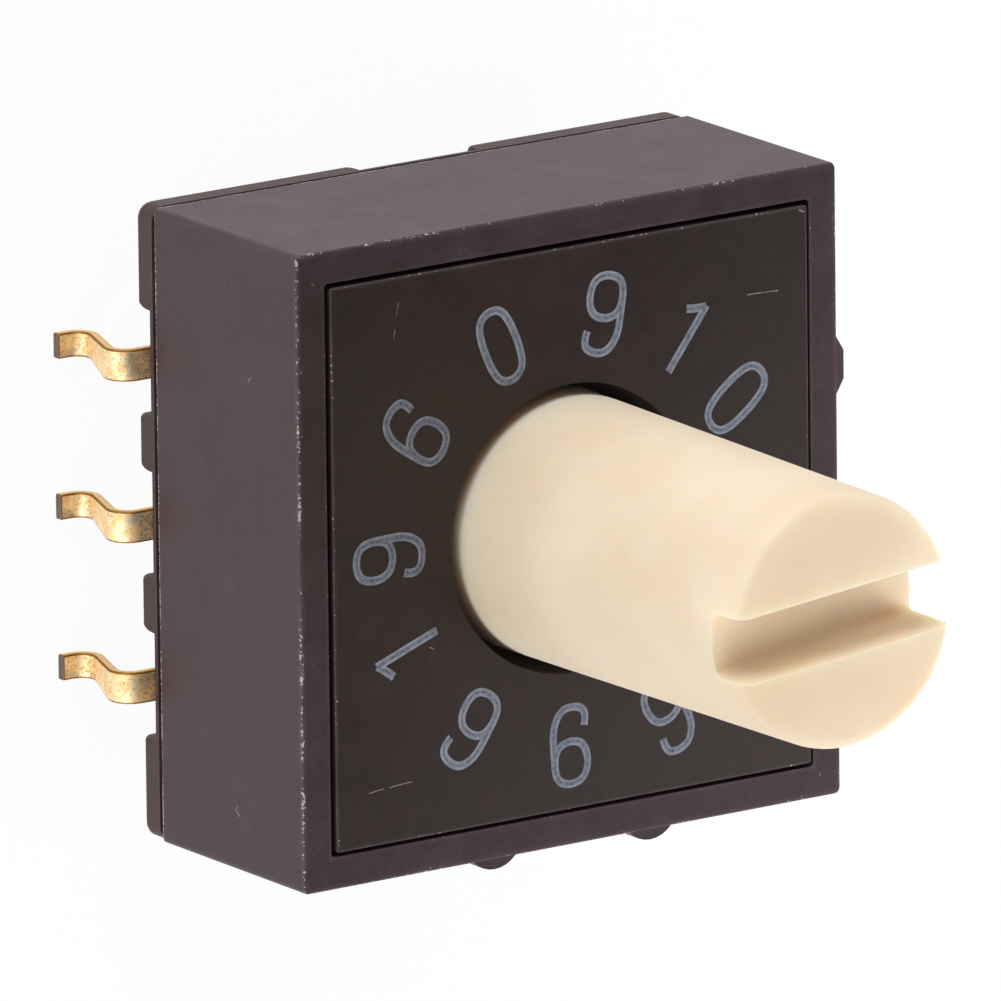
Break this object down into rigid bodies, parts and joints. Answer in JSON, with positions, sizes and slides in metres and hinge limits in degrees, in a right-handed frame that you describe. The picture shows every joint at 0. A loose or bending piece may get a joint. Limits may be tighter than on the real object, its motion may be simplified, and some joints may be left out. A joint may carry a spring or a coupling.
{
  "type": "rotary dip switch",
  "caption": "Square rotary coded DIP switch with a numbered dial plate, a long slotted screwdriver shaft and gull-wing solder terminals.",
  "frame": {"origin": "on the seating plane of the solder feet, under the shaft's axis", "axes": "+Z along the shaft, out of the dial; +X to the dial's right and +Y to its top in the picture"},
  "size_m": [0.0112, 0.0102, 0.0131],
  "materials": {
    "case_plastic": "satin moulded, glass filled",
    "dial_plastic": "satin moulded, printed numbers",
    "seal_rubber": "smooth",
    "washer_steel": "stamped",
    "rotor_plastic": "satin moulded",
    "spring_steel": "rolled strip",
    "code_disc_plate": "gold plated",
    "terminal_plate": "gold plated",
    "base_plastic": "satin moulded, glass filled",
    "potting_resin": "poured"
  },
  "bodies": {
    "case": {"housing": "case_plastic", "dial_plate": "dial_plastic", "shaft_seal": "seal_rubber", "thrust_washer": "washer_steel", "detent_spring_1": "spring_steel", "detent_spring_2": "spring_steel", "base": "base_plastic", "potting": "potting_resin", "terminal_bit_1": "terminal_plate", "terminal_bit_2": "terminal_plate", "terminal_bit_4": "terminal_plate", "terminal_bit_8": "terminal_plate", "terminal_common_left": "terminal_plate", "terminal_common_right": "terminal_plate"},
    "rotor": {"rotor_shaft": "rotor_plastic", "code_disc": "code_disc_plate"}
  },
  "joints": [
    {"name": "shaft_turn", "type": "hinge", "parent": "case", "child": "rotor", "pos_m": [0, 0, 0.006], "axis": [0, 0, 1], "continuous": true, "deforming": ["detent_spring_1", "detent_spring_2"]}
  ]
}
